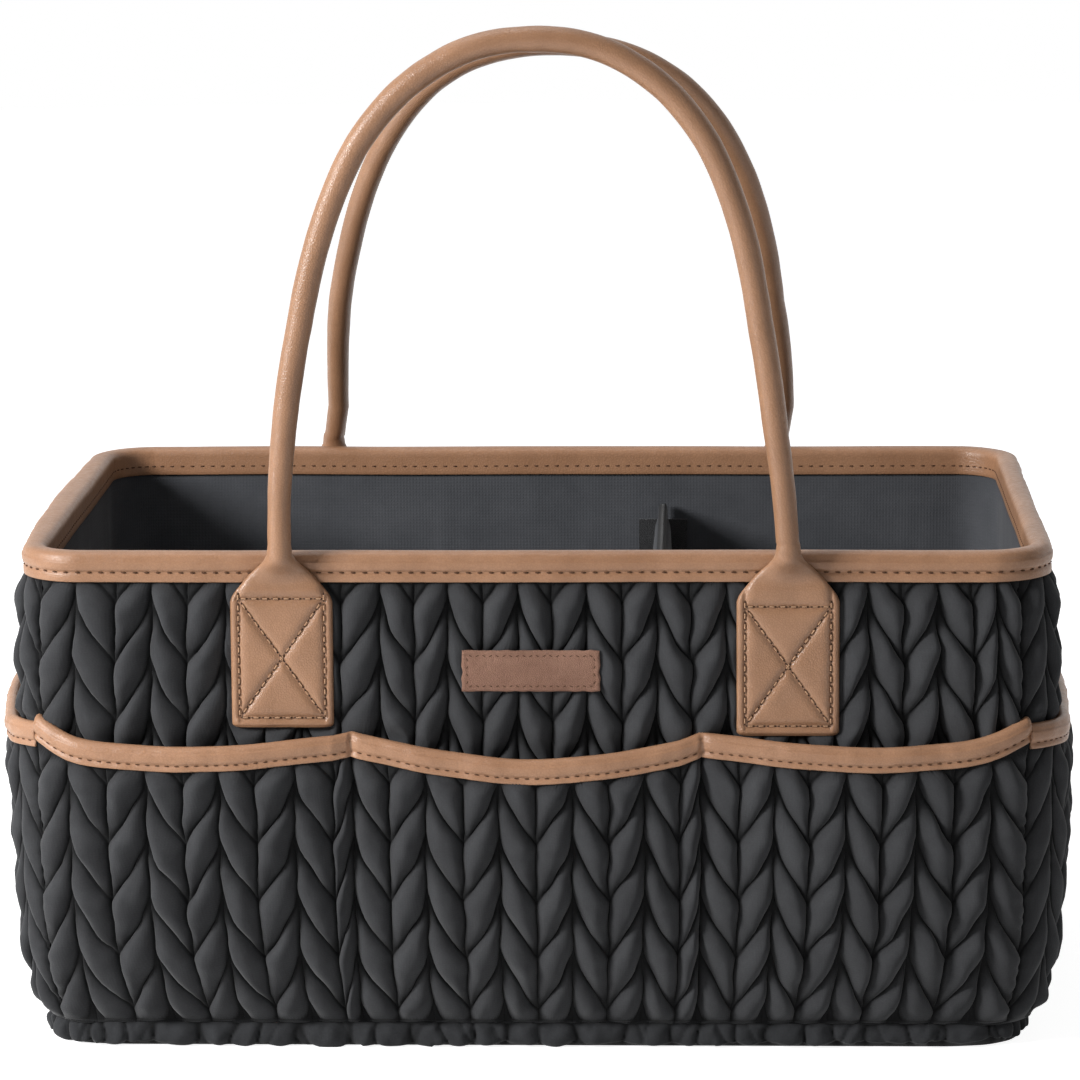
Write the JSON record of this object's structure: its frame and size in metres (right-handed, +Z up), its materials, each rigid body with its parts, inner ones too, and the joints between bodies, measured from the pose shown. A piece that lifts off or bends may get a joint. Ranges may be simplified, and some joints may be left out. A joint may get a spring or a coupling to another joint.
{
  "type": "diaper caddy",
  "caption": "Rectangular quilted fabric storage caddy with a leather-bound rim, outside pockets, arched rolled handles and lift-out padded dividers.",
  "frame": {"origin": "on the floor under the middle of the caddy's footprint", "axes": "+X along the long front, to the right as seen from the front; +Y towards the back; +Z up"},
  "size_m": [0.4138, 0.2819, 0.3798],
  "materials": {
    "quilt": "charcoal quilted polyester, soft satin",
    "leather": "tan grained faux leather, satin",
    "patch": "reddish brown napped faux leather, matte",
    "lining": "dark grey plain woven polyester, matte",
    "board": "plain stiffener board, matte",
    "hook": "dark hook and loop tape, matte",
    "cord": "undyed cotton filler cord, matte"
  },
  "bodies": {
    "caddy": {"front_wall_quilt": "quilt", "right_wall_quilt": "quilt", "back_wall_quilt": "quilt", "left_wall_quilt": "quilt", "front_pocket_panel": "quilt", "right_pocket_panel": "quilt", "back_pocket_panel": "quilt", "left_pocket_panel": "quilt", "front_pocket_band": "leather", "right_pocket_band": "leather", "back_pocket_band": "leather", "left_pocket_band": "leather", "rim_band": "leather", "front_stiffener": "board", "right_stiffener": "board", "back_stiffener": "board", "left_stiffener": "board", "lining_bag": "lining", "base_board": "board", "base_pad": "quilt", "base_welt": "quilt", "front_left_handle_tab": "leather", "front_right_handle_tab": "leather", "back_left_handle_tab": "leather", "back_right_handle_tab": "leather", "front_patch": "patch", "front_loop_strip": "hook", "back_loop_strip": "hook", "left_loop_strip": "hook"},
    "front_handle": {"front_handle_cover": "leather", "front_handle_cord": "cord"},
    "back_handle": {"back_handle_cover": "leather", "back_handle_cord": "cord"},
    "cross_divider": {"cross_divider_sleeve": "lining", "cross_divider_board": "board", "cross_divider_front_hook": "hook", "cross_divider_back_hook": "hook", "cross_divider_loop": "hook"},
    "long_divider": {"long_divider_sleeve": "lining", "long_divider_board": "board", "long_divider_left_hook": "hook", "long_divider_right_hook": "hook"}
  },
  "joints": [
    {"name": "front_handle_hinge", "type": "hinge", "parent": "caddy", "child": "front_handle", "pos_m": [0, -0.1301, 0.188], "axis": [1, 0, 0], "range_deg": [-28, 100]},
    {"name": "back_handle_hinge", "type": "hinge", "parent": "caddy", "child": "back_handle", "pos_m": [0, 0.1301, 0.188], "axis": [1, 0, 0], "range_deg": [-122.5, 5.5]},
    {"name": "cross_divider_lift", "type": "slide", "parent": "caddy", "child": "cross_divider", "axis": [0, 0, 1], "range_m": [0, 0.15]},
    {"name": "long_divider_lift", "type": "slide", "parent": "caddy", "child": "long_divider", "axis": [0, 0, 1], "range_m": [0, 0.15]}
  ]
}
